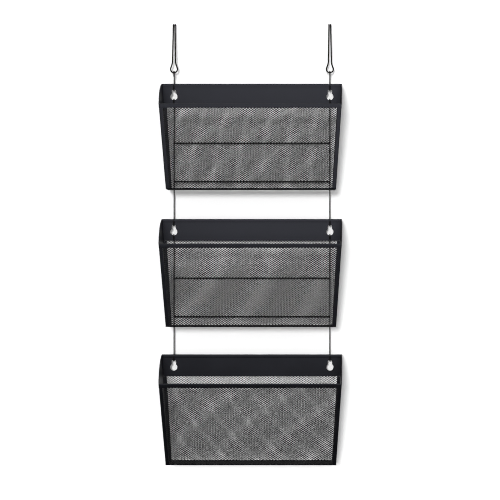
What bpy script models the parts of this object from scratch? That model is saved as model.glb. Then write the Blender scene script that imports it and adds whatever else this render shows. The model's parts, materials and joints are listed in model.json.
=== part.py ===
# Hanging letter file: three mesh pockets, one below another, on wires that drop from two hangers
# over the top of a partition panel.
#
# Metres, +Z up. X runs along the panel, +Y points into it, and the pockets open upwards on its -Y side.
# The origin is on the panel's top front edge, midway between the hangers.
# Inside a pocket, depth is measured forwards from its back face and drop down from its header's top edge.

import math
from collections import namedtuple

import bmesh
import bpy
from mathutils import Vector

# Panel
PANEL_THICKNESS = 0.060
PANEL_FIT = 0.0010          # play of the hangers on the panel's thickness
WIRE_TO_PANEL = 0.0003      # hook wires to the panel's face

# Hangers
HANGER_WIRE = 0.0028
HANGER_DROP = 0.095         # panel top to the seat inside the eye
HANGER_REAR_LEG = 0.035     # reach down behind the panel
HANGER_SPACING = 0.0034     # between a hanger's legs, where they go over the panel
HANGER_CORNER = 0.006       # bend radius over the panel's edges, on the wire's middle line
EYE_WIDTH = 0.0166          # across the outside of the wire
EYE_NECK_RISE = 0.0117      # from the eye's middle up to where the legs part
EYE_NECK_SPACING = 0.0062   # between the legs there

# Hook wires: links and frames
HOOK_INSET = 0.024          # in from a header's top corners
HOOK_WIRE = 0.0024
HOOK_BEND = 0.0042          # bend radius round a header, on the wire's middle line
HOOK_TIP = 0.0090           # reach of a tip beyond its seat
HOOK_SEAT = 0.0003          # gap between a hook and the edge that it bears on
LINK_DROP = 0.036           # seat in the eye to the seat in the keyhole
LINK_TIP = 0.0080           # reach of a link's upper tip below its bend
EYE_PLAY = 0.0006           # gap beside the eye's wire inside the link's upper bend
FRAME_DROP = 0.250          # a frame's upper seat to its lower seat
CROSS_WIRE = 0.0032
CROSS_UPPER_DROP = 0.086    # below the frame's upper seat
CROSS_LOWER_DROP = 0.163

# Pockets
TOP_WIDTH = 0.360
BOTTOM_WIDTH = 0.334
POCKET_HEIGHT = 0.213
HEADER_HEIGHT = 0.0435
RIM_DROP = 0.050            # header's top edge to the front rim's top edge
RIM_HEIGHT = 0.0082
RIM_DEPTH = 0.086           # outside depth at the rim
BOTTOM_DEPTH = 0.050
SIDE_CROWN = 0.0105         # rise of the side's curved top edge above its chord
FLANGE = 0.0070             # width of the sides' folded flanges
FRONT_LIP = 0.0018          # height of the bottom's folded lips
BACK_LIP = 0.0018
SHEET = 0.0010
MESH_SHEET = 0.0008
MESH_LAP = 0.0040           # back mesh behind the header's lower edge
MESH_FOOT = 0.0003          # front mesh's lower edge above the bottom tray
SEAM = 0.0003               # gap along a welded seam

# Keyholes
SLOT_DROP = 0.0120          # header's top edge to the top of the slot
SLOT_WIDTH = 0.0086
SLOT_CORNER = 0.0020
KEYHOLE_HEIGHT = 0.0205     # top of the slot to the bottom of the round part
KEYHOLE_RADIUS = 0.0070

# Net of the mesh panels, coarser than the real mesh and as open
NET_LONG = 0.054            # diamond, strand middle to strand middle, across
NET_SHORT = 0.036           # and up
NET_STRAND = 0.0055
NET_BORDER = 0.0060
NET_LEAST_GAP = 0.25        # smallest piece of a diamond kept at the border, as a share of a whole one

# Facets
ARC_STEPS = 10              # in a hook's half turn, and in a side's curved top edge
CORNER_STEPS = 4            # in a quarter turn of a hanger or a slot corner
ROUND_STEPS = 20            # in an eye or a keyhole
CROSS_SIDES = 12
WIRE_STEPS = 2              # round a wire, in a quarter turn
SHARP_ANGLE = math.radians(40)
PIVOT_SIZE = 0.02           # drawn size of the empties on the joint axes

# Places worked out from the sizes above
HOOK_X = TOP_WIDTH / 2 - HOOK_INSET
BACK_WIRE_Y = -(WIRE_TO_PANEL + HOOK_WIRE / 2)
HEADER_Y = BACK_WIRE_Y - HOOK_BEND
EYE_BEND = (HANGER_WIRE + HOOK_WIRE) / 2 + EYE_PLAY
EYE_Y = BACK_WIRE_Y - EYE_BEND
EYE_WIRE_Z = -HANGER_DROP - HANGER_WIRE / 2
FRONT_RUN = POCKET_HEIGHT - RIM_DROP
FRONT_SLOPE = math.atan2(RIM_DEPTH - BOTTOM_DEPTH, FRONT_RUN)
FRONT_LENGTH = math.hypot(RIM_DEPTH - BOTTOM_DEPTH, FRONT_RUN)
RIM_THICKNESS = 2 * SHEET + 2 * SEAM + MESH_SHEET
UPRIGHT = math.pi / 2       # turns a flat outline's own XY plane up to face -Y

Shape = namedtuple("Shape", "data location tilt sheet")


def clear_scene():
    for item in list(bpy.data.objects):
        bpy.data.objects.remove(item, do_unlink=True)


def make_collection(name):
    collection = bpy.data.collections.new(name)
    bpy.context.scene.collection.children.link(collection)
    return collection


def make_material(name, colour, roughness, metallic):
    material = bpy.data.materials.new(name)
    material.use_nodes = True
    shader = material.node_tree.nodes["Principled BSDF"]
    shader.inputs["Base Color"].default_value = (*colour, 1.0)
    shader.inputs["Roughness"].default_value = roughness
    shader.inputs["Metallic"].default_value = metallic
    material.diffuse_color = (*colour, 1.0)
    return material


def add_pivot(name, location, parent, collection):
    pivot = bpy.data.objects.new(name, None)
    pivot.empty_display_size = PIVOT_SIZE
    pivot.location = location
    pivot.parent = parent
    collection.objects.link(pivot)
    return pivot


def add_part(name, shape, pivot, material, collection):
    part = bpy.data.objects.new(name, shape.data)
    part.location = shape.location
    part.rotation_euler.x = shape.tilt
    part.parent = pivot
    if not shape.data.materials:
        shape.data.materials.append(material)
    if shape.sheet:
        fold = part.modifiers.new("Sheet thickness", "SOLIDIFY")
        fold.thickness = shape.sheet
        fold.offset = -1
        fold.solidify_mode = "NON_MANIFOLD"
        fold.nonmanifold_thickness_mode = "CONSTRAINTS"
    collection.objects.link(part)
    return part


def arc(centre, radius, start, end, steps):
    """Points on a circle in a plane, from one angle to another."""
    angles = [start + (end - start) * step / steps for step in range(steps + 1)]
    return [(centre[0] + radius * math.cos(a), centre[1] + radius * math.sin(a)) for a in angles]


def crowned_arc(start, end, crown, steps):
    """Points on the arc from start to end that rises by crown on the left of its chord."""
    chord = Vector(end) - Vector(start)
    radius = (chord.length_squared / 4 + crown ** 2) / (2 * crown)
    left = Vector((-chord.y, chord.x)).normalized()
    centre = (Vector(start) + Vector(end)) / 2 + left * (crown - radius)
    middle = math.atan2(left.y, left.x)
    half = math.asin(chord.length / (2 * radius))
    return arc(centre, radius, middle + half, middle - half, steps)


def wire_curve(name, points, diameter):
    curve = bpy.data.curves.new(name, "CURVE")
    curve.dimensions = "3D"
    curve.bevel_depth = diameter / 2
    curve.bevel_resolution = WIRE_STEPS
    curve.use_fill_caps = True
    spline = curve.splines.new("POLY")
    spline.points.add(len(points) - 1)
    for point, place in zip(spline.points, points):
        point.co = (*place, 1.0)
    return curve


def flat_plate(name, loops, thickness):
    """A plate from one outer loop and any inner loops, which become its holes."""
    bm = bmesh.new()
    edges = []
    for loop in loops:
        verts = [bm.verts.new((x, y, -thickness / 2)) for x, y in loop]
        edges += [bm.edges.new(pair) for pair in zip(verts, verts[1:] + verts[:1])]
    bmesh.ops.triangle_fill(bm, edges=edges, use_beauty=True)
    raised = bmesh.ops.extrude_face_region(bm, geom=bm.faces[:])["geom"]
    moved = [item for item in raised if isinstance(item, bmesh.types.BMVert)]
    bmesh.ops.translate(bm, vec=(0, 0, thickness), verts=moved)
    bmesh.ops.recalc_face_normals(bm, faces=bm.faces)
    mesh = bpy.data.meshes.new(name)
    bm.to_mesh(mesh)
    bm.free()
    return mesh


def sheet_mesh(name, bm, outward_face, outward):
    """A folded sheet's outer surface, turned so that its faces look outwards."""
    bmesh.ops.recalc_face_normals(bm, faces=bm.faces)
    if outward_face.normal.dot(outward) < 0:
        bmesh.ops.reverse_faces(bm, faces=bm.faces)
    mesh = bpy.data.meshes.new(name)
    bm.to_mesh(mesh)
    bm.free()
    return mesh


def swept_sheet(name, profile, half_length, face_index, outward):
    """A profile of (y, z) points carried along X."""
    bm = bmesh.new()
    verts = [bm.verts.new((-half_length, y, z)) for y, z in profile]
    edges = [bm.edges.new(pair) for pair in zip(verts, verts[1:])]
    swept = bmesh.ops.extrude_edge_only(bm, edges=edges)["geom"]
    moved = [item for item in swept if isinstance(item, bmesh.types.BMVert)]
    bmesh.ops.translate(bm, vec=(2 * half_length, 0, 0), verts=moved)
    bm.faces.ensure_lookup_table()
    return sheet_mesh(name, bm, bm.faces[face_index], outward)


def pocket_yz(depth, drop):
    """A pocket's own frame has its origin on the hook seat, at the top of the keyhole slots."""
    return SHEET / 2 - depth, SLOT_DROP - drop


def half_width(drop):
    return (TOP_WIDTH - (TOP_WIDTH - BOTTOM_WIDTH) * drop / POCKET_HEIGHT) / 2


def inner_half_width(drop):
    """From the middle to a welded seam with a side panel."""
    return half_width(drop) - SHEET - SEAM


def front_point(along, inwards):
    """Depth and drop of a point along the sloping front, from the rim's top edge."""
    depth = RIM_DEPTH - along * math.sin(FRONT_SLOPE) - inwards * math.cos(FRONT_SLOPE)
    drop = RIM_DROP + along * math.cos(FRONT_SLOPE) - inwards * math.sin(FRONT_SLOPE)
    return depth, drop


def keyhole_loop(x):
    """A slot with rounded top corners that opens into a round hole below."""
    half = SLOT_WIDTH / 2
    centre = (x, KEYHOLE_RADIUS - KEYHOLE_HEIGHT)
    mouth = math.asin(half / KEYHOLE_RADIUS)
    inset = half - SLOT_CORNER
    left = arc((x - inset, -SLOT_CORNER), SLOT_CORNER, math.pi, math.pi / 2, CORNER_STEPS)
    right = arc((x + inset, -SLOT_CORNER), SLOT_CORNER, math.pi / 2, 0, CORNER_STEPS)
    start = math.pi / 2 - mouth
    end = start - (2 * math.pi - 2 * mouth)
    return left + right + arc(centre, KEYHOLE_RADIUS, start, end, ROUND_STEPS)


def header_shape():
    top = inner_half_width(0)
    bottom = inner_half_width(HEADER_HEIGHT)
    high = SLOT_DROP
    low = SLOT_DROP - HEADER_HEIGHT
    outline = [(-bottom, low), (bottom, low), (top, high), (-top, high)]
    loops = [outline, keyhole_loop(-HOOK_X), keyhole_loop(HOOK_X)]
    return Shape(flat_plate("header", loops, SHEET), (0, 0, 0), UPRIGHT, None)


def side_shape(side):
    """One side panel: a flat web with flanges folded towards the middle, front and back."""
    def place(depth, drop):
        return (side * half_width(drop), *pocket_yz(depth, drop))

    crown = crowned_arc((0, 0), (RIM_DEPTH, -RIM_DROP), SIDE_CROWN, ARC_STEPS)
    front = [front_point(along, 0) for along in (RIM_HEIGHT + SEAM, FRONT_LENGTH - FRONT_LIP - SEAM)]
    bottom = [(BOTTOM_DEPTH, POCKET_HEIGHT), (0, POCKET_HEIGHT)]
    back = [(0, POCKET_HEIGHT - BACK_LIP - SEAM), (0, HEADER_HEIGHT + SEAM)]
    outline = [(depth, -height) for depth, height in crown] + front + bottom + back

    bm = bmesh.new()
    verts = [bm.verts.new(place(*point)) for point in outline]
    web = bm.faces.new(verts)
    for first in (len(crown), len(crown) + len(front) + len(bottom)):
        fold = bm.edges.get((verts[first], verts[first + 1]))
        flange = bmesh.ops.extrude_edge_only(bm, edges=[fold])["geom"]
        moved = [item for item in flange if isinstance(item, bmesh.types.BMVert)]
        bmesh.ops.translate(bm, vec=(-side * FLANGE, 0, 0), verts=moved)
    name = "side_right" if side > 0 else "side_left"
    return Shape(sheet_mesh(name, bm, web, Vector((side, 0, 0))), (0, 0, 0), 0, SHEET)


def bottom_shape():
    lip = front_point(FRONT_LENGTH - FRONT_LIP, 0)
    corners = [(0, POCKET_HEIGHT - BACK_LIP), (0, POCKET_HEIGHT), (BOTTOM_DEPTH, POCKET_HEIGHT), lip]
    profile = [pocket_yz(*corner) for corner in corners]
    mesh = swept_sheet("bottom", profile, inner_half_width(POCKET_HEIGHT), 1, Vector((0, 0, -1)))
    return Shape(mesh, (0, 0, 0), 0, SHEET)


def front_rim_shape():
    """A strip folded over the front mesh's top edge."""
    corners = [(RIM_HEIGHT, 0), (0, 0), (0, RIM_THICKNESS), (RIM_HEIGHT, RIM_THICKNESS)]
    profile = [pocket_yz(*front_point(*corner)) for corner in corners]
    lowest = front_point(RIM_HEIGHT, 0)[1]
    mesh = swept_sheet("front_rim", profile, inner_half_width(lowest), 1, Vector((0, 0, 1)))
    return Shape(mesh, (0, 0, 0), 0, SHEET)


def clip_to_edge(polygon, start, end):
    """The part of a polygon on the left of the line from start to end."""
    along = Vector(end) - Vector(start)
    kept = []
    for here, there in zip(polygon, polygon[1:] + polygon[:1]):
        here_side = along.cross(Vector(here) - Vector(start))
        there_side = along.cross(Vector(there) - Vector(start))
        if here_side >= 0:
            kept.append(here)
        if here_side * there_side < 0:
            share = here_side / (here_side - there_side)
            kept.append(tuple(Vector(here).lerp(Vector(there), share)))
    return kept


def area(polygon):
    pairs = zip(polygon, polygon[1:] + polygon[:1])
    return sum(ax * by - bx * ay for (ax, ay), (bx, by) in pairs) / 2


def net_shape(name, top, bottom, half_at, location, tilt):
    """A mesh panel between two heights in its own plane, with half_at giving its half width."""
    bottom_half = half_at(bottom)
    top_half = half_at(top)
    outline = [(-bottom_half, bottom), (bottom_half, bottom), (top_half, top), (-top_half, top)]
    low = bottom + NET_BORDER
    high = top - NET_BORDER
    low_half = half_at(low) - NET_BORDER
    high_half = half_at(high) - NET_BORDER
    field = [(-low_half, low), (low_half, low), (high_half, high), (-high_half, high)]

    across = NET_LONG * NET_SHORT / math.hypot(NET_LONG, NET_SHORT)
    half_long = NET_LONG / 2 * (1 - NET_STRAND / across)
    half_short = NET_SHORT / 2 * (1 - NET_STRAND / across)
    least = NET_LEAST_GAP * 2 * half_long * half_short
    columns = math.ceil(2 * top_half / NET_LONG) + 1
    rows = math.ceil((top - bottom) / NET_SHORT) + 1
    middle = (low + high) / 2

    gaps = []
    for row in range(-rows, rows + 1):
        for column in range(-columns, columns + 1):
            if (row + column) % 2:
                continue
            x = column * NET_LONG / 2
            y = middle + row * NET_SHORT / 2
            gap = [(x + half_long, y), (x, y + half_short), (x - half_long, y), (x, y - half_short)]
            for edge in zip(field, field[1:] + field[:1]):
                gap = clip_to_edge(gap, *edge)
            if gap and area(gap) > least:
                gaps.append(gap)
    return Shape(flat_plate(name, [outline] + gaps, MESH_SHEET), location, tilt, None)


def back_mesh_shape():
    """Lies behind the header, the back flanges and the bottom's back lip."""
    top = SLOT_DROP - HEADER_HEIGHT + MESH_LAP
    bottom = SLOT_DROP - POCKET_HEIGHT + SHEET

    def half_at(height):
        return half_width(SLOT_DROP - height) - SHEET

    behind = SHEET / 2 + SEAM + MESH_SHEET / 2
    return net_shape("back_mesh", top, bottom, half_at, (0, behind, 0), UPRIGHT)


def front_mesh_shape():
    """Lies in the rim's fold and behind the front flanges and the bottom's front lip."""
    inwards = SHEET + SEAM + MESH_SHEET / 2

    def half_at(height):
        return inner_half_width(front_point(-height, inwards)[1])

    top = -(SHEET + SEAM)
    foot = SHEET + MESH_FOOT + MESH_SHEET * math.sin(FRONT_SLOPE)
    deepest = POCKET_HEIGHT - foot + inwards * math.sin(FRONT_SLOPE)
    bottom = -(deepest - RIM_DROP) / math.cos(FRONT_SLOPE)
    location = (0, *pocket_yz(*front_point(0, inwards)))
    return net_shape("front_mesh", top, bottom, half_at, location, UPRIGHT + FRONT_SLOPE)


def hook_points(x, back_y, upper_bend, upper_apex, upper_end, lower_bend, lowest, lower_end):
    """A wire that runs down behind its seats, with both ends bent forwards and back along it."""
    upper = arc((back_y - upper_bend, upper_apex - upper_bend), upper_bend, math.pi, 0, ARC_STEPS)
    lower = arc((back_y - lower_bend, lowest + lower_bend), lower_bend, 0, -math.pi, ARC_STEPS)
    start = [(back_y - 2 * upper_bend, upper_end)]
    end = [(back_y - 2 * lower_bend, lower_end)]
    return [(x, y, z) for y, z in start + upper + lower + end]


def link_shape(x):
    """From the middle of the eye's wire down to the top of a keyhole slot."""
    apex = HANGER_WIRE / 2 + HOOK_SEAT + HOOK_WIRE / 2
    seat = HANGER_WIRE / 2 - LINK_DROP
    lowest = seat - HOOK_SEAT - HOOK_WIRE / 2
    upper_end = apex - EYE_BEND - LINK_TIP
    points = hook_points(x, EYE_BEND, EYE_BEND, apex, upper_end, HOOK_BEND, lowest, seat + HOOK_TIP)
    return Shape(wire_curve("upper_link", points, HOOK_WIRE), (0, 0, 0), 0, None)


def frame_wire_shape(x):
    """From the bottom of one pocket's keyhole down to the top of the next one's slot."""
    apex = HOOK_SEAT + HOOK_WIRE / 2
    lowest = -FRAME_DROP - HOOK_SEAT - HOOK_WIRE / 2
    upper_end = -HOOK_TIP
    lower_end = HOOK_TIP - FRAME_DROP
    points = hook_points(x, HOOK_BEND, HOOK_BEND, apex, upper_end, HOOK_BEND, lowest, lower_end)
    return Shape(wire_curve("frame_wire", points, HOOK_WIRE), (0, 0, 0), 0, None)


def cross_wire_shape(drop):
    """A straight wire between the two uprights of a frame, flush with them at the back."""
    bm = bmesh.new()
    length = 2 * (HOOK_X - HOOK_WIRE / 2 - SEAM)
    ends = {"radius1": CROSS_WIRE / 2, "radius2": CROSS_WIRE / 2, "depth": length}
    wire = bmesh.ops.create_cone(bm, cap_ends=True, segments=CROSS_SIDES, **ends)["verts"]
    lying = Vector((0, 0, 1)).rotation_difference(Vector((1, 0, 0))).to_matrix()
    bmesh.ops.rotate(bm, matrix=lying, verts=wire)
    mesh = bpy.data.meshes.new("cross_wire")
    bm.to_mesh(mesh)
    bm.free()
    mesh.shade_smooth()
    mesh.set_sharp_from_angle(angle=SHARP_ANGLE)
    return Shape(mesh, (0, HOOK_BEND + (HOOK_WIRE - CROSS_WIRE) / 2, -drop), 0, None)


def hanger_shape(x):
    """Up from behind the panel, over its top, down to the eye, round it and back the same way."""
    top_x = HANGER_SPACING / 2
    neck_x = EYE_NECK_SPACING / 2
    radius = HANGER_WIRE / 2
    front_y = -radius
    rear_y = PANEL_THICKNESS + PANEL_FIT + radius
    bend_z = radius - HANGER_CORNER
    rear = arc((rear_y - HANGER_CORNER, bend_z), HANGER_CORNER, 0, math.pi / 2, CORNER_STEPS)
    front = arc((front_y + HANGER_CORNER, bend_z), HANGER_CORNER, math.pi / 2, math.pi, CORNER_STEPS)

    eye_radius = (EYE_WIDTH - HANGER_WIRE) / 2
    eye_z = EYE_WIRE_Z + eye_radius
    over = [(rear_y, -HANGER_REAR_LEG)] + rear + front
    side = [(top_x, y, z) for y, z in over] + [(neck_x, EYE_Y, eye_z + EYE_NECK_RISE)]
    to_neck = math.atan2(EYE_NECK_RISE, neck_x)
    tangent = to_neck - math.acos(eye_radius / math.hypot(EYE_NECK_RISE, neck_x))
    eye = arc((0, eye_z), eye_radius, math.pi - tangent, 2 * math.pi + tangent, ROUND_STEPS)

    left = [(x - across, y, z) for across, y, z in side]
    right = [(x + across, y, z) for across, y, z in reversed(side)]
    points = left + [(x + across, EYE_Y, z) for across, z in eye] + right
    return Shape(wire_curve("hanger", points, HANGER_WIRE), (0, 0, 0), 0, None)


def pocket_shapes():
    return {
        "header": header_shape(),
        "side_left": side_shape(-1),
        "side_right": side_shape(1),
        "bottom": bottom_shape(),
        "front_rim": front_rim_shape(),
        "front_mesh": front_mesh_shape(),
        "back_mesh": back_mesh_shape(),
    }


def frame_shapes():
    return {
        "wire_left": frame_wire_shape(-HOOK_X),
        "wire_right": frame_wire_shape(HOOK_X),
        "cross_upper": cross_wire_shape(CROSS_UPPER_DROP),
        "cross_lower": cross_wire_shape(CROSS_LOWER_DROP),
    }


def build():
    clear_scene()
    collection = make_collection("hanging_letter_file")
    sheet_paint = make_material("black_sheet", (0.022, 0.023, 0.027), 0.42, 0.0)
    mesh_paint = make_material("black_mesh", (0.016, 0.016, 0.018), 0.48, 0.0)
    wire_finish = make_material("dark_wire", (0.050, 0.045, 0.045), 0.38, 0.7)

    panel_top = add_pivot("panel_top", (0, 0, 0), None, collection)
    for name, x in (("hanger_left", -HOOK_X), ("hanger_right", HOOK_X)):
        add_part(name, hanger_shape(x), panel_top, wire_finish, collection)

    links = add_pivot("links_pivot", (0, EYE_Y, EYE_WIRE_Z), panel_top, collection)
    for name, x in (("upper_link_left", -HOOK_X), ("upper_link_right", HOOK_X)):
        add_part(name, link_shape(x), links, wire_finish, collection)

    pocket_pieces = pocket_shapes()
    frame_pieces = frame_shapes()
    carrier = links
    seat = (0, HEADER_Y - EYE_Y, HANGER_WIRE / 2 - LINK_DROP)
    for level, below in (("upper", True), ("middle", True), ("lower", False)):
        pocket = add_pivot(f"{level}_pocket_pivot", seat, carrier, collection)
        for piece, shape in pocket_pieces.items():
            finish = mesh_paint if piece.endswith("mesh") else sheet_paint
            add_part(f"{level}_{piece}", shape, pocket, finish, collection)
        if not below:
            continue
        frame = "upper_frame" if level == "upper" else "lower_frame"
        carrier = add_pivot(f"{frame}_pivot", (0, 0, -KEYHOLE_HEIGHT), pocket, collection)
        for piece, shape in frame_pieces.items():
            add_part(f"{frame}_{piece}", shape, carrier, wire_finish, collection)
        seat = (0, 0, -FRAME_DROP)


build()
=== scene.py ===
import json

import bmesh
import bpy
import numpy as np
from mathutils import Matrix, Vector

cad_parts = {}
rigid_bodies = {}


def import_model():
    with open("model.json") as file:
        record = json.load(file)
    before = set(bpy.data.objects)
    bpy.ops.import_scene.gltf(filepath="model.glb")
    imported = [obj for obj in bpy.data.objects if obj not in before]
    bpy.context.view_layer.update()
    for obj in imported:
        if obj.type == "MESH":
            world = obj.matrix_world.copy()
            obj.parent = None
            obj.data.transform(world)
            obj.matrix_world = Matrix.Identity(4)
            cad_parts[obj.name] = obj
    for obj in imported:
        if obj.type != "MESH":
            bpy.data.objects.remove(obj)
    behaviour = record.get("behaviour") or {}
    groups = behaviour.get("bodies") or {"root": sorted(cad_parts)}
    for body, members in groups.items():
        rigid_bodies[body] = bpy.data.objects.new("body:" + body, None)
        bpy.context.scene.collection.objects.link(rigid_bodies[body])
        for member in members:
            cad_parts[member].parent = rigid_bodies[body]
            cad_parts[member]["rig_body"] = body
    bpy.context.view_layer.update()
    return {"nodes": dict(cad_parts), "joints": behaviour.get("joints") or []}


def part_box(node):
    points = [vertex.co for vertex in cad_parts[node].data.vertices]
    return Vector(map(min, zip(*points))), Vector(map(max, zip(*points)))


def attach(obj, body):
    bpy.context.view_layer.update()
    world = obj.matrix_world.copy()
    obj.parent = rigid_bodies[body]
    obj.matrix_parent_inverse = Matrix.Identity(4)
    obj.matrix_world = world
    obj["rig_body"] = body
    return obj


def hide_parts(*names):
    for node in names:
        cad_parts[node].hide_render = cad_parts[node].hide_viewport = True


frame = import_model()
pivot = {joint["name"]: np.array(joint["pos_m"]) for joint in frame["joints"]}
levels = ("upper", "middle", "lower")
sides = {"left": -1, "right": 1}

# Camera, in metres and millimetres of lens
photoView = {
    "place": (0.096, -2.4157, -0.4606),
    "target": (0.096, -0.0057, -0.4514),
    "shiftX": -0.0998,        # the photo is framed left of the line of sight, which is square to the wall
    "lens": 86.76,
    "sensor": 36.0,
}


def addCamera(view):
    data = bpy.data.cameras.new("photoView")
    data.lens = view["lens"]
    data.sensor_width = view["sensor"]
    data.shift_x = view["shiftX"]
    camera = bpy.data.objects.new("photoView", data)
    bpy.context.scene.collection.objects.link(camera)
    camera.location = view["place"]
    look = Vector(view["target"]) - Vector(view["place"])
    camera.rotation_euler = look.to_track_quat("-Z", "Y").to_euler()
    bpy.context.scene.camera = camera


addCamera(photoView)
print("camera: at the photo's view")


class Signal:
    # a node socket that can stand in a Python sum
    def __init__(self, tree, socket=None):
        self.tree = tree
        self.socket = socket

    def node(self, kind, settings=None, inputs=None, output=0):
        made = self.tree.nodes.new(kind)
        for name, value in (settings or {}).items():
            setattr(made, name, value)
        for key, value in (inputs or {}).items():
            if isinstance(value, Signal):
                self.tree.links.new(value.socket, made.inputs[key])
            else:
                made.inputs[key].default_value = value
        return Signal(self.tree, made.outputs[output] if made.outputs else None)

    def math(self, operation, first, second):
        return self.node("ShaderNodeMath", {"operation": operation}, {0: first, 1: second})

    def __add__(self, other):
        return self.math("ADD", self, other)

    __radd__ = __add__

    def __sub__(self, other):
        return self.math("SUBTRACT", self, other)

    def __rsub__(self, other):
        return self.math("SUBTRACT", other, self)

    def __mul__(self, other):
        return self.math("MULTIPLY", self, other)

    __rmul__ = __mul__

    def larger(self, other):
        return self.math("MAXIMUM", self, other)

    def noise(self, place, size, detail):
        # cloudy values from 0 to 1 with lumps of about this size, and finer ones in them by octaves
        return self.node("ShaderNodeTexNoise", None, {"Vector": place, "Scale": 1 / size, "Detail": detail})

    def band(self, value, low, high):
        # 0 below low, 1 above high, smooth between
        settings = {"interpolation_type": "SMOOTHSTEP"}
        return self.node("ShaderNodeMapRange", settings, {"Value": value, "From Min": low, "From Max": high})

    def blend(self, share, first, second):
        # one colour turning into another: 6, 7 and 2 are the node's colour sockets
        return self.node("ShaderNodeMix", {"data_type": "RGBA"}, {0: share, 6: first, 7: second}, 2)

    def stretch(self, vector, scale):
        return self.node("ShaderNodeVectorMath", {"operation": "MULTIPLY"}, {0: vector, 1: scale})


def newMaterial(name):
    material = bpy.data.materials.new(name)
    material.use_nodes = True
    material.node_tree.nodes.clear()
    return material, Signal(material.node_tree)


# Satin black powder coat on the pressed sheet
coatLook = {
    "deep": (0.0012, 0.0013, 0.0018, 1),
    "pale": (0.0030, 0.0032, 0.0042, 1),
    "tint": (0.82, 0.84, 1.0, 1),
    "specular": 0.40,
    "mottle": (0.045, 4.0),   # lumps in the coat's shade, by size and octaves
    "mottleBand": (0.3, 0.7),
    "peel": (0.0011, 2.0),    # orange peel
    "peelDepth": 0.000012,
    "peelStrength": 0.6,
    "grain": (0.00025, 1.0),  # fine pimples of the powder
    "grainShare": 0.35,       # beside the peel
    "rough": 0.42,
    "roughSpread": 0.10,
    "roughGrain": 0.4,        # share of the spread that follows the grain
}

# Less powder reaches into the trays, where it dries matt
trayLook = {**coatLook, "specular": 0.12, "rough": 0.80}


def powderCoat(name, look):
    material, start = newMaterial(name)
    place = start.node("ShaderNodeTexCoord", output="Object")
    mottle = start.noise(place, *look["mottle"])
    peel = start.noise(place, *look["peel"])
    grain = start.noise(place, *look["grain"])
    colour = start.blend(start.band(mottle, *look["mottleBand"]), look["deep"], look["pale"])
    uneven = (1 - look["roughGrain"]) * mottle + look["roughGrain"] * grain - 0.5
    rough = look["rough"] + look["roughSpread"] * uneven
    bump = start.node("ShaderNodeBump", None, {
        "Strength": look["peelStrength"], "Distance": look["peelDepth"],
        "Height": peel + look["grainShare"] * grain})
    shader = start.node("ShaderNodeBsdfPrincipled", None, {
        "Base Color": colour, "Roughness": rough, "Normal": bump,
        "Specular IOR Level": look["specular"], "Specular Tint": look["tint"]})
    start.node("ShaderNodeOutputMaterial", None, {"Surface": shader})
    return material


# Thinner black paint on the expanded metal
meshLook = {
    "deep": (0.0035, 0.0035, 0.0042, 1),
    "pale": (0.0085, 0.0085, 0.0096, 1),
    "specular": 0.40,
    "patch": (0.030, 3.0),    # clouds in the paint's shade, by size and octaves
    "run": (0.0016, 2.0),     # beads of paint along the strands
    "runShare": 0.5,          # beside the clouds
    "shadeBand": (0.35, 0.65),
    "runDepth": 0.00003,
    "runStrength": 0.5,
    "rough": 0.40,
    "roughSpread": 0.16,
}


def strandPaint(look):
    material, start = newMaterial("blackStrandPaint")
    place = start.node("ShaderNodeTexCoord", output="Object")
    patch = start.noise(place, *look["patch"])
    run = start.noise(place, *look["run"])
    shade = (1 - look["runShare"]) * patch + look["runShare"] * run
    colour = start.blend(start.band(shade, *look["shadeBand"]), look["deep"], look["pale"])
    rough = look["rough"] + look["roughSpread"] * (run - 0.5)
    bump = start.node("ShaderNodeBump", None, {
        "Strength": look["runStrength"], "Distance": look["runDepth"], "Height": run})
    shader = start.node("ShaderNodeBsdfPrincipled", None, {
        "Base Color": colour, "Roughness": rough, "Normal": bump,
        "Specular IOR Level": look["specular"]})
    start.node("ShaderNodeOutputMaterial", None, {"Surface": shader})
    return material


# Dark oxide on the drawn steel wire, with streaks that follow the wire
wireLook = {
    "deep": (0.0024, 0.0022, 0.0022, 1),
    "pale": (0.0080, 0.0072, 0.0070, 1),
    "specular": 0.12,
    "streak": (0.0006, 2.0),  # across the wire, by size and octaves
    "streakLength": 30.0,     # longer along it by this many times
    "streakShare": 0.6,       # beside the clouds
    "cloud": (0.012, 3.0),
    "shadeBand": (0.3, 0.7),
    "metallic": 0.10,
    "rough": 0.44,
    "roughSpread": 0.16,
    "lineDepth": 0.000012,
    "lineStrength": 0.5,
}


def oxideWire(look):
    material, start = newMaterial("darkOxideWire")
    straight = start.node("ShaderNodeAttribute", {"attribute_name": "straightWire"}, output="Vector")
    drawn = start.stretch(straight, (1, 1, 1 / look["streakLength"]))
    streak = start.noise(drawn, *look["streak"])
    cloud = start.noise(straight, *look["cloud"])
    shade = look["streakShare"] * streak + (1 - look["streakShare"]) * cloud
    colour = start.blend(start.band(shade, *look["shadeBand"]), look["deep"], look["pale"])
    rough = look["rough"] + look["roughSpread"] * (cloud - 0.5)
    bump = start.node("ShaderNodeBump", None, {
        "Strength": look["lineStrength"], "Distance": look["lineDepth"], "Height": streak})
    shader = start.node("ShaderNodeBsdfPrincipled", None, {
        "Base Color": colour, "Roughness": rough, "Normal": bump, "Metallic": look["metallic"],
        "Specular IOR Level": look["specular"]})
    start.node("ShaderNodeOutputMaterial", None, {"Surface": shader})
    return material


coat = powderCoat("satinBlackCoat", coatLook)
trayCoat = powderCoat("mattBlackCoat", trayLook)
strandCoat = strandPaint(meshLook)
oxide = oxideWire(wireLook)
print("materials: two coats, strand paint and oxide wire")


def gridQuads(rows, columns, wrap=False):
    # four-cornered faces between neighbours of a grid that is stored row by row
    index = np.arange(rows * columns).reshape(rows, columns)
    if wrap:
        index = np.hstack([index, index[:, :1]])
    corners = (index[:-1, :-1], index[:-1, 1:], index[1:, 1:], index[1:, :-1])
    return np.stack(corners, axis=-1).reshape(-1, 4)


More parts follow.
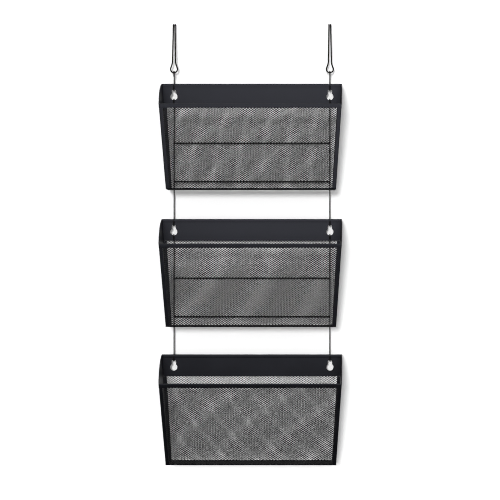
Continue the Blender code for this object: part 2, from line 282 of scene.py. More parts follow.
def quadMesh(name, points, quads):
    mesh = bpy.data.meshes.new(name)
    mesh.vertices.add(len(points))
    mesh.vertices.foreach_set("co", np.asarray(points, np.float32).ravel())
    mesh.loops.add(quads.size)
    mesh.loops.foreach_set("vertex_index", quads.astype(np.int32).ravel())
    mesh.polygons.add(len(quads))
    mesh.polygons.foreach_set("loop_start", np.arange(0, quads.size, 4, dtype=np.int32))
    mesh.update(calc_edges=True)
    return mesh


def addPiece(name, mesh, material, node):
    # a finished mesh becomes a piece that stands for one CAD node and rides on its body
    piece = bpy.data.objects.new(name, mesh)
    bpy.context.scene.collection.objects.link(piece)
    mesh.materials.append(material)
    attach(piece, frame["nodes"][node]["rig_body"])
    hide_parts(node)


def tidyFaces(mesh, weld):
    # merges doubled points and turns all faces one way, outwards on a closed shape
    bm = bmesh.new()
    bm.from_mesh(mesh)
    bmesh.ops.remove_doubles(bm, verts=bm.verts, dist=weld)
    bmesh.ops.recalc_face_normals(bm, faces=bm.faces)
    bm.to_mesh(mesh)
    bm.free()


# Sheet metal common to the pockets
sheetMetal = {
    "thickness": 0.0010,
    "seam": 0.0003,           # gap that the solids leave along a seam
    "weldGap": 0.00002,       # what the weld leaves of it
    "edge": 0.00022,          # softened cut edges
    "edgeSteps": 2,
    "sharp": np.radians(50),
    "bend": 0.0009,           # fold radius on the sheet's middle
    "bendSteps": 5,
    "weld": 0.000002,
}


def foldedSheet(name, patches, node, finish=coat):
    # patches are grids of points on the sheet's middle surface, which meet along their edges
    sizes = np.cumsum([0] + [patch.shape[0] * patch.shape[1] for patch in patches])
    points = np.concatenate([patch.reshape(-1, 3) for patch in patches])
    quads = np.concatenate([gridQuads(*patch.shape[:2]) + start for patch, start in zip(patches, sizes)])
    mesh = quadMesh(name, points, quads)
    tidyFaces(mesh, sheetMetal["weld"])
    mesh.shade_smooth()
    rough = bpy.data.objects.new(name + "_middle", mesh)
    bpy.context.scene.collection.objects.link(rough)
    thick = rough.modifiers.new("thickness", "SOLIDIFY")
    thick.thickness = sheetMetal["thickness"]
    thick.offset = 0
    thick.use_even_offset = True
    soft = rough.modifiers.new("softEdges", "BEVEL")
    soft.width = sheetMetal["edge"]
    soft.segments = sheetMetal["edgeSteps"]
    soft.limit_method = "ANGLE"
    soft.angle_limit = sheetMetal["sharp"]
    soft.harden_normals = True
    made = bpy.data.meshes.new_from_object(rough.evaluated_get(bpy.context.evaluated_depsgraph_get()))
    bpy.data.objects.remove(rough)
    made.name = name
    addPiece(name, made, finish, node)


# Pocket outline, in the pocket's own depth from its back face and drop from its top edge
pocketForm = {
    "bottomDepth": 0.050,
    "rimDrop": 0.050,
    "rimHeight": 0.0082,
    "sideCrown": 0.0105,
    "flange": 0.0070,
    "frontLip": 0.0018,
    "backLip": 0.0018,
    "meshSheet": 0.0008,
}


class Pocket:
    # one pocket's place and outline, worked out from its CAD nodes
    def __init__(self, level):
        self.level = level
        self.seat = pivot[f"{level}_pocket_tilt"]
        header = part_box(f"{level}_header")
        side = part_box(f"{level}_side_right")
        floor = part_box(f"{level}_bottom")
        thick = sheetMetal["thickness"]
        self.top = header[1].z
        self.back = header[1].y
        self.headerHeight = header[1].z - header[0].z
        self.height = header[1].z - floor[0].z
        self.rimDepth = self.back - side[0].y
        self.topHalf = side[1].x
        self.bottomHalf = floor[1].x + thick + sheetMetal["seam"]
        run = self.height - pocketForm["rimDrop"]
        self.slope = np.arctan2(self.rimDepth - pocketForm["bottomDepth"], run)

    def half(self, drop):
        # outside half width, which narrows evenly downwards
        return self.topHalf - (self.topHalf - self.bottomHalf) * drop / self.height

    def innerHalf(self, drop):
        return self.half(drop) - sheetMetal["thickness"] - sheetMetal["weldGap"]

    def frontDepth(self, drop, inwards):
        # depth of a plane that lies this far inside the sloping front
        fall = np.tan(self.slope) * (drop - pocketForm["rimDrop"])
        return self.rimDepth - fall - inwards / np.cos(self.slope)

    def points(self, x, depth, drop):
        # world points from distances across, forwards and down
        x, depth, drop = np.broadcast_arrays(x, depth, drop)
        return np.stack([x, self.back - depth, self.top - drop], axis=-1)


def arc(start, end, steps):
    return np.linspace(start, end, steps + 1)


# Header plate with a folded hem along its top and two keyholes
headerForm = {
    "hem": 0.0062,
    "hemGap": 0.0002,         # daylight inside the hem
    "hemBulge": 0.00025,
    "hemRows": 6,
    "foldSteps": 10,
    "slotWidth": 0.0086,
    "slotCorner": 0.0020,
    "holeHeight": 0.0205,     # top of the slot to the bottom of the round part
    "holeRadius": 0.0070,
    "rayDrop": 0.0090,        # rays to the keyhole's edge start this far below the slot's top
    "ringReach": 0.0125,      # half width of the patch round a keyhole
    "ringRows": 7,
    "across": 14,             # points along a patch's top
    "up": 26,                 # and up its side
    "middleColumns": 40,
    "endColumns": 3,
}

tiny = 1e-9                   # smallest divisor


def keyholeReach(way, form):
    # The keyhole is a round-cornered slot that runs into a round hole. Along each ray from a point
    # in both, its edge is the farther of the two edges.
    half = form["slotWidth"] / 2
    start = np.array([0.0, -form["rayDrop"]])

    def toCircle(centre, radius):
        # how far along each ray the far side of a circle lies
        gap = centre - start
        along = (way * gap).sum(-1)
        inside = along ** 2 - (gap ** 2).sum(-1) + radius ** 2
        return along + np.sqrt(np.maximum(inside, 0))

    hole = toCircle(np.array([0.0, form["holeRadius"] - form["holeHeight"]]), form["holeRadius"])
    sideways = half / np.maximum(np.abs(way[:, 0]), tiny)
    upwards = np.where(way[:, 1] > tiny, form["rayDrop"] / np.maximum(way[:, 1], tiny), np.inf)
    slot = np.minimum(sideways, upwards)
    inset = half - form["slotCorner"]
    edge = start + way * slot[:, None]
    corner = (np.abs(edge[:, 0]) > inset) & (edge[:, 1] > -form["slotCorner"])
    middle = np.stack([np.sign(edge[:, 0]) * inset, np.full(len(way), -form["slotCorner"])], axis=-1)
    slot = np.where(corner, toCircle(middle, form["slotCorner"]), slot)
    slot = np.where(way[:, 1] < 0, 0, slot)
    return np.maximum(slot, hole)


def headerPlate(pocket, form):
    thick = sheetMetal["thickness"]
    fold = (thick + form["hemGap"]) / 2
    seat = pocket.seat
    high = pocket.top - seat[2] - thick / 2 - fold
    low = pocket.top - seat[2] - pocket.headerHeight
    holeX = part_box("upper_link_right")[1].x - hookForm["wire"] / 2

    def place(x, y, up):
        x, y, up = np.broadcast_arrays(x, y, up)
        return np.stack([x, seat[1] + y, seat[2] + up], axis=-1)

    def endHalf(up):
        return pocket.innerHalf(pocket.top - seat[2] - up)

    # ring between a keyhole's edge and a rectangle round it
    reach = form["ringReach"]
    rise = np.linspace(low, high, form["up"] + 1)
    run = np.linspace(reach, -reach, form["across"] + 1)
    frameX = np.concatenate([np.full(form["up"], reach), run[:-1], np.full(form["up"], -reach), -run])
    frameUp = np.concatenate([rise[:-1], np.full(form["across"], high), rise[:0:-1],
                              np.full(form["across"] + 1, low)])
    start = np.array([0.0, -form["rayDrop"]])
    way = np.stack([frameX, frameUp], axis=-1) - start
    length = np.linalg.norm(way, axis=-1)
    way = way / length[:, None]
    edge = keyholeReach(way, form)
    share = np.linspace(0, 1, form["ringRows"] + 1)[:, None]
    out = edge + (length - edge) * share
    ringX = start[0] + way[:, 0] * out
    ringUp = start[1] + way[:, 1] * out
    rings = [place(side * holeX + ringX, 0.0, ringUp) for side in sides.values()]

    # plain plate at the ends and between the rings
    column = np.linspace(0, 1, form["endColumns"] + 1)[None, :]
    ends = [place(side * ((holeX + reach) + (endHalf(rise[:, None]) - holeX - reach) * column), 0.0,
                  rise[:, None]) for side in sides.values()]
    inner = np.linspace(-(holeX - reach), holeX - reach, form["middleColumns"] + 1)
    middle = place(inner[None, :], 0.0, rise[:, None])

    # hem: half a turn forwards at the top, then down in front, slightly bulged
    topX = np.concatenate([grid[-1, :, 0] for grid in ends] + [inner]
                          + [side * holeX + run for side in sides.values()])
    topX = np.unique(np.round(topX, 8))
    turn = arc(0, np.pi, form["foldSteps"])
    drop = np.linspace(0, 1, form["hemRows"] + 1)[1:]
    hemEnd = pocket.top - seat[2] - form["hem"]
    hemY = np.concatenate([fold * (np.cos(turn) - 1),
                           -2 * fold - form["hemBulge"] * 4 * drop * (1 - drop)])
    hemUp = np.concatenate([high + fold * np.sin(turn), high + (hemEnd - high) * drop])
    spread = endHalf(hemUp)[:, None] / endHalf(high)
    hem = place(topX[None, :] * spread, hemY[:, None], hemUp[:, None])
    patches = rings + ends + [middle, hem]
    foldedSheet(f"{pocket.level}_header_plate", patches, f"{pocket.level}_header")


# Side panel: a web with a curved top edge and two folded flanges
sideForm = {
    "columns": 24,
    "rows": 14,               # in each of the stretches between the ends of the flanges
    "flangeColumns": 3,
    "edgeColumns": 2,         # from a fold's place to a plain edge
}


def sidePanel(pocket, side, form):
    thick = sheetMetal["thickness"]
    bend = sheetMetal["bend"]
    inset = thick / 2 + bend
    rimDrop = pocketForm["rimDrop"]
    height = pocket.height
    slope = pocket.slope

    # the top edge is a circle's arc from the header's corner to the rim, with a rise over its chord
    chord = np.array([pocket.rimDepth, -rimDrop])
    span = np.hypot(*chord)
    crown = pocketForm["sideCrown"]
    radius = (span ** 2 / 4 + crown ** 2) / (2 * crown)
    centre = chord / 2 + np.array([-chord[1], chord[0]]) / span * (crown - radius)

    def crownDrop(depth):
        return -centre[1] - np.sqrt(radius ** 2 - (depth - centre[0]) ** 2)

    def web(x, depth, drop):
        return pocket.points(side * (pocket.half(drop) - thick / 2 - x), depth, drop)

    # ruled between the curved top and the straight bottom, in rows that share out the height
    gap = sheetMetal["weldGap"]
    frontStart = (pocketForm["rimHeight"] + gap) * np.cos(slope) / (height - rimDrop)
    frontEnd = 1 - (pocketForm["frontLip"] + gap) * np.cos(slope) / (height - rimDrop)
    backStart = (pocket.headerHeight + gap) / height
    backEnd = 1 - (pocketForm["backLip"] + gap) / height
    stops = [0, frontStart, backStart, backEnd, frontEnd, 1]
    rows = np.unique(np.concatenate([np.linspace(a, b, form["rows"] + 1) for a, b in zip(stops, stops[1:])]))
    share = rows[:, None]
    frontInset = inset / np.cos(slope)
    upper = np.linspace(inset, pocket.rimDepth - frontInset, form["columns"] + 1)[None, :]
    lower = np.linspace(inset, pocketForm["bottomDepth"] - frontInset, form["columns"] + 1)[None, :]

    def ruled(top, bottom, share):
        depth = top + (bottom - top) * share
        start = crownDrop(top)
        return depth, start + (height - start) * share

    depth, drop = ruled(upper, lower, share)
    patches = [web(0.0, depth, drop)]

    # outside the flanges the web runs on to its plain front and back edges
    reach = np.linspace(0, 1, form["edgeColumns"] + 1)[None, :]
    frontUpper = pocket.rimDepth - frontInset * (1 - reach)
    frontLower = pocketForm["bottomDepth"] - frontInset * (1 - reach)
    backReach = inset * (1 - reach)
    small = 1e-6              # rows this close to a flange's end belong to both stretches
    for first, last, top, bottom in (
            (0, frontStart, frontUpper, frontLower), (frontEnd, 1, frontUpper, frontLower),
            (0, backStart, backReach, backReach), (backEnd, 1, backReach, backReach)):
        part = rows[(rows > first - small) & (rows < last + small)][:, None]
        patches.append(web(0.0, *ruled(top, bottom, part)))

    # a flange turns through a quarter circle and runs on towards the middle
    turn = arc(0, np.pi / 2, sheetMetal["bendSteps"])
    flat = np.linspace(bend, pocketForm["flange"] - thick / 2, form["flangeColumns"] + 1)[1:]
    sideways = np.concatenate([bend * (1 - np.cos(turn)), flat])[None, :]
    outwards = np.concatenate([bend * np.sin(turn), np.full(len(flat), bend)])[None, :]
    for first, last, column, out in (
            (frontStart, frontEnd, -1, (np.cos(slope), np.sin(slope))), (backStart, backEnd, 0, (-1, 0))):
        kept = (rows > first - small) & (rows < last + small)
        atDepth = depth[kept, column][:, None]
        atDrop = drop[kept, column][:, None]
        wide = side * (pocket.half(atDrop) - thick / 2 - sideways)
        patches.append(pocket.points(wide, atDepth + out[0] * outwards, atDrop + out[1] * outwards))
    name = "left" if side < 0 else "right"
    foldedSheet(f"{pocket.level}_side_{name}_panel", patches, f"{pocket.level}_side_{name}")


# Strips across a pocket: the bottom tray and the front rim
stripForm = {
    "columns": 30,
    "rimTurnSteps": 10,
}


def profileSheet(pocket, name, node, depth, drop, half, finish):
    # a folded strip: one profile of depth and drop carried across the pocket's width
    across = np.linspace(-1, 1, stripForm["columns"] + 1)[None, :]
    grid = pocket.points(half * across, depth[:, None], drop[:, None])
    foldedSheet(name, [grid], node, finish)


def bottomTray(pocket):
    # up the back lip, round to the floor, round again to the front lip that leans with the front
    thick = sheetMetal["thickness"]
    bend = sheetMetal["bend"]
    middle = thick / 2
    low = pocket.height - middle - bend
    slope = pocket.slope
    backTurn = arc(0, np.pi / 2, sheetMetal["bendSteps"])
    frontTurn = arc(0, np.pi / 2 - slope, sheetMetal["bendSteps"])
    frontCentre = pocket.frontDepth(low, middle + bend)
    lipDrop = pocket.height - pocketForm["frontLip"] * np.cos(slope)
    depth = np.concatenate([[middle], middle + bend * (1 - np.cos(backTurn)),
                            frontCentre + bend * np.sin(frontTurn),
                            [pocket.frontDepth(lipDrop, middle)]])
    drop = np.concatenate([[pocket.height - pocketForm["backLip"]], low + bend * np.sin(backTurn),
                           low + bend * np.cos(frontTurn), [lipDrop]])
    half = pocket.innerHalf(pocket.height)
    name = f"{pocket.level}_bottom"
    profileSheet(pocket, f"{name}_tray", name, depth, drop, half, trayCoat)


def frontRim(pocket):
    # a strip folded over the mesh: down the front, half a turn over the top, down inside
    thick = sheetMetal["thickness"]
    outer = (2 * thick + 2 * sheetMetal["seam"] + pocketForm["meshSheet"]) / 2
    radius = outer - thick / 2
    turn = arc(0, np.pi, stripForm["rimTurnSteps"])
    leg = pocketForm["rimHeight"]
    along = np.concatenate([[leg], outer - radius * np.sin(turn), [leg]])
    inwards = np.concatenate([[thick / 2], outer - radius * np.cos(turn), [2 * outer - thick / 2]])
    depth = pocket.rimDepth - along * np.sin(pocket.slope) - inwards * np.cos(pocket.slope)
    drop = pocketForm["rimDrop"] + along * np.cos(pocket.slope) - inwards * np.sin(pocket.slope)
    half = pocket.innerHalf(pocketForm["rimDrop"] + leg)
    name = f"{pocket.level}_front_rim"
    profileSheet(pocket, f"{name}_strip", name, depth, drop, half, coat)


# Expanded metal: diamonds between zigzag strands
diamondForm = {
    "strand": 0.00072,        # strand's height at a bond
    "bond": 0.0009,           # length of a bond along the strand
    "thick": 0.00046,
    "proud": 0.00016,         # strands stand this far out of the panel's plane at the bonds
}

# Each panel was stretched and cut a little differently: the diamond's width and height, the rise of
# its rows along the panel and the lean of its columns
diamondPitch = {
    "upper_front": (0.006145, 0.00416, -0.0342, 0.0193),
    "upper_back": (0.006125, 0.00412, 0.0342, -0.0193),
    "middle_front": (0.006050, 0.00406, 0.0, 0.0),
    "middle_back": (0.006050, 0.00406, -0.0183, 0.0183),
    "lower_front": (0.006150, 0.00424, -0.0250, 0.0477),
    "lower_back": (0.006150, 0.00416, 0.0345, -0.0426),
}


def expandedMetal(name, node, panel, pitch, form):
    # Strand k runs across at height q = k * up / 2. Its middle line is q plus a triangle wave in p with
    # flattened peaks, which meet the valleys of strand k + 1 at the bonds. On the panel it lies at
    # p + lean * q across and q + rise * p up. The strand's section is a small rectangle that stands
    # out of the plane with the wave.
    pocket = panel["pocket"]
    across, up, rise, lean = pitch
    half = across / 2
    swing = up / 4 - form["strand"] / 2
    middle = panel["height"] / 2
    margin = form["strand"]
    halfLow = panel["half"](0.0) - margin
    grow = (panel["half"](panel["height"]) - margin - halfLow) / panel["height"]
    halfMiddle = halfLow + grow * middle

    # each strand is cut where it leaves the panel's outline
    spare = 1.2
    reach = middle + abs(rise) * halfMiddle * spare
    strand = np.arange(-np.ceil(reach * 2 / up), np.ceil(reach * 2 / up) + 1)[:, None]
    q = strand * up / 2
    flattest = 1e-6           # a level strand is cut as one that rises this little
    slant = rise if abs(rise) > flattest else flattest
    rim = np.sort(np.stack([(-middle + margin - q) / slant, (middle - margin - q) / slant]), axis=0)
    right = (halfMiddle + q * (grow - lean)) / (1 - grow * rise)
    left = -(halfMiddle + q * (grow + lean)) / (1 + grow * rise)
    start = np.maximum(rim[0], left)
    end = np.minimum(rim[1], right)
    kept = (end - start)[:, 0] > half
    strand, q, start, end = strand[kept], q[kept], start[kept], end[kept]

    # two points at each bond, then the wave from the clipped places
    count = int(np.ceil(halfMiddle * spare / half)) + 2
    bonds = np.arange(-count, count + 1) * half
    places = np.sort(np.concatenate([bonds - form["bond"] / 2, bonds + form["bond"] / 2]))[None, :]
    p = np.clip(places, start, end)
    phase = p / across + strand / 2
    wave = 4 * np.abs(phase - np.floor(phase + 0.5)) - 1
    wave = np.clip(wave / (1 - form["bond"] / half), -1, 1)

    # four corners of the section, from below in front round to below behind
    high = np.array([-0.5, 0.5, 0.5, -0.5]) * form["strand"]
    out = np.array([0.5, 0.5, -0.5, -0.5]) * form["thick"]
    pp = np.repeat(p[:, :, None], 4, axis=2)
    qq = (q + swing * wave)[:, :, None] + high
    proud = (form["proud"] * wave)[:, :, None] + out
    u = pp + lean * qq
    v = qq + rise * pp + middle
    depth = panel["depth"](v) + proud * panel["out"][0]
    drop = panel["drop"](v) + proud * panel["out"][1]
    points = pocket.points(u, depth, drop).reshape(-1, 3)

    # faces along the strand where it has length, and a cap at each end
    rows, columns = p.shape
    index = np.arange(rows * columns * 4).reshape(rows, columns, 4)
    following = np.roll(index, -1, axis=2)
    walls = np.stack([index[:, :-1], following[:, :-1], following[:, 1:], index[:, 1:]], axis=-1)
    shortest = 1e-7
    long = np.diff(p, axis=1) > shortest
    first = long.argmax(axis=1)
    last = columns - 1 - long[:, ::-1].argmax(axis=1)
    strands = np.arange(rows)
    quads = np.concatenate([walls[long].reshape(-1, 4), index[strands, first][:, ::-1], index[strands, last]])
    used, quads = np.unique(quads, return_inverse=True)
    mesh = quadMesh(name, points[used], quads.reshape(-1, 4))
    addPiece(name, mesh, strandCoat, node)
    return len(mesh.polygons)


def meshPanels(pocket, form):
    # the front panel slopes inside the front flanges, the back panel hangs behind the header
    thick = sheetMetal["thickness"]
    seam = sheetMetal["seam"]
    slope = pocket.slope
    inwards = thick + seam + pocketForm["meshSheet"] / 2
    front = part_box(f"{pocket.level}_front_mesh")
    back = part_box(f"{pocket.level}_back_mesh")
    frontLow = pocket.top - front[0].z
    backLow = pocket.top - back[0].z

    def frontDrop(v):
        return frontLow - v * np.cos(slope)

    def backDrop(v):
        return backLow - v

    panels = {
        "front": {
            "height": (front[1].z - front[0].z) / np.cos(slope),
            "drop": frontDrop,
            "depth": lambda v: pocket.frontDepth(frontDrop(v), inwards),
            "half": lambda v: pocket.innerHalf(frontDrop(v)),
            "out": (np.cos(slope), np.sin(slope)),
        },
        "back": {
            "height": back[1].z - back[0].z,
            "drop": backDrop,
            "depth": lambda v: np.full_like(v, -(seam + pocketForm["meshSheet"] / 2)),
            "half": lambda v: pocket.half(backDrop(v)) - thick,
            "out": (1.0, 0.0),
        },
    }
    for place, panel in panels.items():
        panel["pocket"] = pocket
        node = f"{pocket.level}_{place}_mesh"
        pitch = diamondPitch[f"{pocket.level}_{place}"]
        faces = expandedMetal(f"{node}_panel", node, panel, pitch, form)
        print(f"mesh: {node}, {faces} faces")


# Round wires
tubeForm = {
    "sides": 20,
    "endRound": 0.0005,
    "endSteps": 4,
    "slant": (0.62, 0.58, 0.53),  # lies along no wire
}


def roundWire(name, node, path, radius, radii=None):
    # A circle carried along the path, square to it. At both ends its radius draws in along a quarter
    # circle, so the cut ends are softly rounded.
    path = np.asarray(path, float)
    radii = np.full(len(path), radius) if radii is None else radii
    tangent = np.gradient(path, axis=0)
    tangent /= np.linalg.norm(tangent, axis=1)[:, None]
    soft = tubeForm["endRound"]
    angle = arc(np.pi / 2, 0, tubeForm["endSteps"])
    inset = soft * (1 - np.sin(angle))
    shrink = soft * (1 - np.cos(angle))
    startRings = path[0] + tangent[0] * inset[:, None]
    endRings = (path[-1] - tangent[-1] * inset[:, None])[::-1]
    centres = np.concatenate([startRings, path[1:-1], endRings])
    sizes = np.concatenate([radii[0] - shrink, radii[1:-1], (radii[-1] - shrink)[::-1]])
    ends = len(angle)
    ways = np.concatenate([np.repeat(tangent[:1], ends, 0), tangent[1:-1], np.repeat(tangent[-1:], ends, 0)])
    first = np.cross(ways, tubeForm["slant"])
    first /= np.linalg.norm(first, axis=1)[:, None]
    second = np.cross(ways, first)
    count = tubeForm["sides"]
    around = np.arange(count) * 2 * np.pi / count
    ring = first[:, None] * np.cos(around)[None, :, None] + second[:, None] * np.sin(around)[None, :, None]
    points = (centres[:, None] + ring * sizes[:, None, None]).reshape(-1, 3)
    pair = np.arange(count // 2 - 1)
    cap = np.stack([pair, pair + 1, count - 2 - pair, count - 1 - pair], axis=-1)
    quads = np.concatenate([gridQuads(len(centres), count, True), cap[:, ::-1],
                            cap + (len(centres) - 1) * count])
    mesh = quadMesh(name, points, quads)
    gone = np.concatenate([[0], np.cumsum(np.linalg.norm(np.diff(centres, axis=0), axis=1))])
    flatX, flatY = radius * np.cos(around), radius * np.sin(around)
    straight = np.stack(np.broadcast_arrays(flatX[None, :], flatY[None, :], gone[:, None]), axis=-1)
    kept = mesh.attributes.new("straightWire", "FLOAT_VECTOR", "POINT")
    kept.data.foreach_set("vector", straight.astype(np.float32).ravel())
    tidyFaces(mesh, 0.0)
    mesh.shade_smooth()
    mesh.set_sharp_from_angle(angle=sheetMetal["sharp"])
    addPiece(name, mesh, oxide, node)


def softCorner(before, corner, after, reach, steps):
    # a parabola that leaves one straight run and joins the next, this far from their corner
    before, corner, after = (np.asarray(point, float) for point in (before, corner, after))
    start = corner + (before - corner) / np.linalg.norm(before - corner) * reach
    end = corner + (after - corner) / np.linalg.norm(after - corner) * reach
    t = np.linspace(0, 1, steps + 1)[:, None]
    return (1 - t) ** 2 * start + 2 * t * (1 - t) * corner + t ** 2 * end


# Hanger: one wire up from behind the panel, over its top, down to an eye and back the same way
hangerForm = {
    "wire": 0.0028,
    "rearLeg": 0.035,
    "topSpacing": 0.0034,     # between the two legs where they go over the panel
    "legSpacing": 0.0062,     # and above the eye
    "corner": 0.006,
    "eyeWidth": 0.0166,
    "neckRise": 0.0117,
    "neckSoft": 0.0045,
    "cornerSteps": 14,
    "eyeSteps": 56,
    "neckSteps": 10,
}


def hanger(name, form):
    low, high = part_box(name)
    radius = form["wire"] / 2
    x = (low.x + high.x) / 2
    topLeg = form["topSpacing"] / 2
    leg = form["legSpacing"] / 2
    corner = form["corner"]
    rearY = high.y - radius
    frontY = -radius
    eyeY = pivot["links_swing"][1]
    bendZ = high.z - radius - corner
    eyeRadius = form["eyeWidth"] / 2 - radius
    eyeZ = pivot["links_swing"][2] + eyeRadius
    neckZ = eyeZ + form["neckRise"]

    # rear leg, over the panel's two edges, and the front leg
    rearTurn = arc(0, np.pi / 2, form["cornerSteps"])
    frontTurn = arc(np.pi / 2, np.pi, form["cornerSteps"])
    legY = np.concatenate([[rearY], rearY - corner + corner * np.cos(rearTurn),
                           frontY + corner + corner * np.cos(frontTurn)])
    legZ = np.concatenate([[-form["rearLeg"]], bendZ + corner * np.sin(rearTurn),
                           bendZ + corner * np.sin(frontTurn)])
    sideRun = np.stack([np.full_like(legY, -topLeg), legY, legZ], axis=-1)

    # round eye between the points where straight wires from the two necks touch it
    toNeck = np.arctan2(form["neckRise"], leg)
    touch = toNeck - np.arccos(eyeRadius / np.hypot(form["neckRise"], leg))
    turn = arc(np.pi - touch, 2 * np.pi + touch, form["eyeSteps"])
    eye = np.stack([eyeRadius * np.cos(turn), np.full_like(turn, eyeY), eyeZ + eyeRadius * np.sin(turn)],
                   axis=-1)
    neck = softCorner(sideRun[-1], (-leg, eyeY, neckZ), eye[0], form["neckSoft"], form["neckSteps"])
    mirror = np.array([-1, 1, 1])
    left = np.concatenate([sideRun, neck])
    path = np.concatenate([left, eye, (left * mirror)[::-1]]) + np.array([x, 0, 0])
    roundWire(f"{name}_wire", name, path, radius)


# Hooked wires: links and the uprights of the frames
hookForm = {
    "wire": 0.0024,
    "tip": 0.0090,            # reach of a tip beyond its seat
    "linkTip": 0.0080,        # reach of a link's upper tip below its bend
    "turnSteps": 30,
    "runSteps": 40,
}


def hookWire(name, node, upperBend, upperEnd, lowerEnd, form):
    # half a turn forwards over the upper seat, straight down behind, half a turn forwards below
    low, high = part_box(node)
    radius = form["wire"] / 2
    x = (low.x + high.x) / 2
    backY = high.y - radius
    apex = high.z - radius
    lowest = low.z + radius
    lowerBend = (high.y - low.y) / 2 - radius
    over = arc(np.pi, 0, form["turnSteps"])
    under = arc(0, -np.pi, form["turnSteps"])
    run = np.linspace(apex - upperBend, lowest + lowerBend, form["runSteps"] + 1)[1:-1]
    y = np.concatenate([[backY - 2 * upperBend], backY - upperBend + upperBend * np.cos(over),
                        np.full_like(run, backY),
                        backY - lowerBend + lowerBend * np.cos(under), [backY - 2 * lowerBend]])
    z = np.concatenate([[upperEnd], apex - upperBend + upperBend * np.sin(over), run,
                        lowest + lowerBend + lowerBend * np.sin(under), [lowerEnd]])
    path = np.stack([np.full_like(y, x), y, z], axis=-1)
    roundWire(name, node, path, radius)


def link(side, form):
    node = f"upper_link_{side}"
    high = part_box(node)[1]
    upperBend = high.y - form["wire"] / 2 - pivot["links_swing"][1]
    upperEnd = high.z - form["wire"] / 2 - upperBend - form["linkTip"]
    lowerEnd = pivot["upper_pocket_tilt"][2] + form["tip"]
    hookWire(f"{node}_hook", node, upperBend, upperEnd, lowerEnd, form)


# Cross wires, butt welded between the uprights
crossForm = {
    "sink": 0.0011,           # runs into the upright's surface
    "bead": 0.0004,           # weld fillet round its ends
    "beadReach": 0.0016,
    "steps": 60,
}


def crossWire(name, node, form):
    # a straight wire whose radius swells like a fading bump towards the welds at its ends
    low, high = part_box(node)
    radius = (high.z - low.z) / 2
    reach = high.x + sheetMetal["seam"] + form["sink"]
    even = np.linspace(-1, 1, form["steps"] + 1)
    x = reach * np.sign(even) * (1 - (1 - np.abs(even)) ** 2)
    fromEnd = reach - form["sink"] - np.abs(x)
    radii = radius + form["bead"] * np.exp(-(np.maximum(fromEnd, 0) / form["beadReach"]) ** 2)
    middle = (low + high) / 2
    path = np.stack([x, np.full_like(x, middle.y), np.full_like(x, middle.z)], axis=-1)
    roundWire(name, node, path, radius, radii)


def frameWires(level, below, form):
    upperEnd = pivot[f"{level}_frame_swing"][2] - form["tip"]
    lowerEnd = pivot[f"{below}_pocket_tilt"][2] + form["tip"]
    for side in sides:
        node = f"{level}_frame_wire_{side}"
        low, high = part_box(node)
        bend = (high.y - low.y) / 2 - form["wire"] / 2
        hookWire(f"{level}_frame_{side}_upright", node, bend, upperEnd, lowerEnd, form)
    for place in ("upper", "lower"):
        crossWire(f"{level}_frame_{place}_cross_wire", f"{level}_frame_cross_{place}", crossForm)


for level in levels:
    pocket = Pocket(level)
    headerPlate(pocket, headerForm)
    for side in sides.values():
        sidePanel(pocket, side, sideForm)
    bottomTray(pocket)
    frontRim(pocket)
    meshPanels(pocket, diamondForm)
    print(f"pocket: {level}")

for side in sides:
    hanger(f"hanger_{side}", hangerForm)
    link(side, hookForm)
frameWires("upper", "middle", hookForm)
frameWires("lower", "lower", hookForm)
print("wires: hangers, links and frames")

# Plain white wall behind the object, seen from its front only and left out of the gloss
wallForm = {
    "face": 0.008,            # how far behind the panel's front the wall stands
    "reach": 6.0,
    "cameraColour": (1.0, 1.0, 1.0, 1),
    "bounceColour": (0.8, 0.8, 0.8, 1),
    "cameraLift": 0.05,       # added to the white that the camera sees
}


def addWall(form):
    reach = form["reach"]
    edge = np.array([-reach, reach])
    x, z = np.meshgrid(edge, edge)
    points = np.stack([x, np.full_like(x, form["face"]), z], axis=-1).reshape(-1, 3)
    mesh = quadMesh("wall", points, gridQuads(2, 2))
    wall = bpy.data.objects.new("wall", mesh)
    bpy.context.scene.collection.objects.link(wall)
    material, start = newMaterial("plainWall")
    cameraRay = start.node("ShaderNodeLightPath", output="Is Camera Ray")
    shadowRay = start.node("ShaderNodeLightPath", output="Is Shadow Ray")
    glossyRay = start.node("ShaderNodeLightPath", output="Is Glossy Ray")
    behind = start.node("ShaderNodeNewGeometry", output="Backfacing")
    colour = start.blend(cameraRay, form["bounceColour"], form["cameraColour"])
    matt = start.node("ShaderNodeBsdfDiffuse", None, {"Color": colour})
    lift = start.node("ShaderNodeEmission", None, {"Strength": form["cameraLift"] * cameraRay})
    plain = start.node("ShaderNodeAddShader", None, {0: matt, 1: lift})
    clear = start.node("ShaderNodeBsdfTransparent")
    unseen = behind.larger(shadowRay).larger(glossyRay)
    shader = start.node("ShaderNodeMixShader", None, {0: unseen, 1: plain, 2: clear})
    start.node("ShaderNodeOutputMaterial", None, {"Surface": shader})
    mesh.materials.append(material)


addWall(wallForm)

# Soft light from the upper left in front, a weak one from behind, an even pale surrounding, and a
# bright card in front that only the gloss of the coat shows
lightForm = {
    "keyWay": (0.14, 1.0, -0.17),     # the way the light travels
    "keyLevel": 0.60,                 # share of the wall's white
    "keySpread": 12.0,                # degrees
    "rearWay": (-0.4, -1.0, -0.5),
    "rearLevel": 0.20,
    "rearSpread": 20.0,
    "ambient": 0.60,
    "glossHigh": 0.10,
    "glossLow": 0.01,
    "glossFrom": -0.56,               # heights of a reflected ray between which the surrounding pales
    "glossTo": -0.20,
    "glossSky": 0.30,                 # paler still above
    "skyBand": (0.2, 0.7),
    "glossRear": 0.40,                # and behind the object
    "rearBand": (-0.1, 0.5),
    "glossSide": 0.45,                # and beside it
    "sideBand": (0.2, 0.8),           # squares of the reflected ray's way across
    "cardLow": (-0.45, -1.0, -0.70),
    "cardHigh": (0.70, -1.0, 0.60),
    "cardLevel": 1.65,                # on top of the surrounding
}


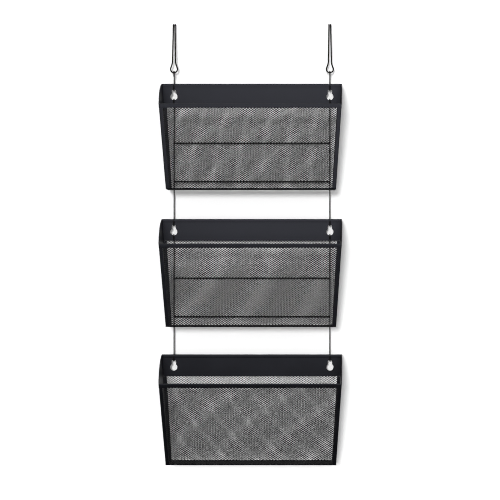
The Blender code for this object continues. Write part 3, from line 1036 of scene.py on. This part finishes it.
def addSun(name, way, level, spread):
    data = bpy.data.lights.new(name, "SUN")
    travel = Vector(way).normalized()
    data.energy = level * np.pi / abs(travel.y)
    data.angle = np.radians(spread)
    sun = bpy.data.objects.new(name, data)
    bpy.context.scene.collection.objects.link(sun)
    sun.rotation_euler = travel.to_track_quat("-Z", "Y").to_euler()
    sun.visible_glossy = False


def addCard(form):
    # a flat lamp that faces the object, as bright as a white sheet
    low, high = Vector(form["cardLow"]), Vector(form["cardHigh"])
    data = bpy.data.lights.new("frontCard", "AREA")
    data.shape = "RECTANGLE"
    data.size, data.size_y = high.x - low.x, high.z - low.z
    data.energy = np.pi * data.size * data.size_y * form["cardLevel"]
    card = bpy.data.objects.new("frontCard", data)
    bpy.context.scene.collection.objects.link(card)
    card.location = (low + high) / 2
    card.rotation_euler = Vector((0, 1, 0)).to_track_quat("-Z", "Y").to_euler()
    card.visible_camera = False
    card.visible_diffuse = False


def addSurrounding(form):
    world = bpy.data.worlds.new("paleSurrounding")
    bpy.context.scene.world = world
    world.use_nodes = True
    world.node_tree.nodes.clear()
    start = Signal(world.node_tree)
    camera = start.node("ShaderNodeLightPath", output="Is Camera Ray")
    through = start.node("ShaderNodeLightPath", output="Is Transmission Ray")
    glossy = start.node("ShaderNodeLightPath", output="Is Glossy Ray")
    way = start.node("ShaderNodeTexCoord", output="Generated")
    height = start.node("ShaderNodeSeparateXYZ", None, {0: way}, "Z")
    behind = start.node("ShaderNodeSeparateXYZ", None, {0: way}, "Y")
    beside = start.node("ShaderNodeSeparateXYZ", None, {0: way}, "X")
    rise = form["glossHigh"] - form["glossLow"]
    low = form["glossLow"] + rise * start.band(height, form["glossFrom"], form["glossTo"])
    sky = form["glossSky"] * start.band(height, *form["skyBand"])
    rear = form["glossRear"] * start.band(behind, *form["rearBand"])
    mirrored = low + sky + rear + form["glossSide"] * start.band(beside * beside, *form["sideBand"])
    seen = camera.larger(through)
    level = seen + (1 - seen) * (glossy * mirrored + (1 - glossy) * form["ambient"])
    shader = start.node("ShaderNodeBackground", None, {"Color": (1, 1, 1, 1), "Strength": level})
    start.node("ShaderNodeOutputWorld", None, {"Surface": shader})


addSun("keyLight", lightForm["keyWay"], lightForm["keyLevel"], lightForm["keySpread"])
addSun("rearLight", lightForm["rearWay"], lightForm["rearLevel"], lightForm["rearSpread"])
addCard(lightForm)
addSurrounding(lightForm)
bpy.context.scene.view_settings.view_transform = "Standard"

# The mesh is finer than a pixel: a narrow pixel filter and an unsmoothed guide keep it crisp
pixelFilter = 1.05            # pixels across
bpy.context.scene.cycles.filter_width = pixelFilter
bpy.context.scene.cycles.denoising_prefilter = "NONE"
print("stage: wall, three lights and a pale surrounding")
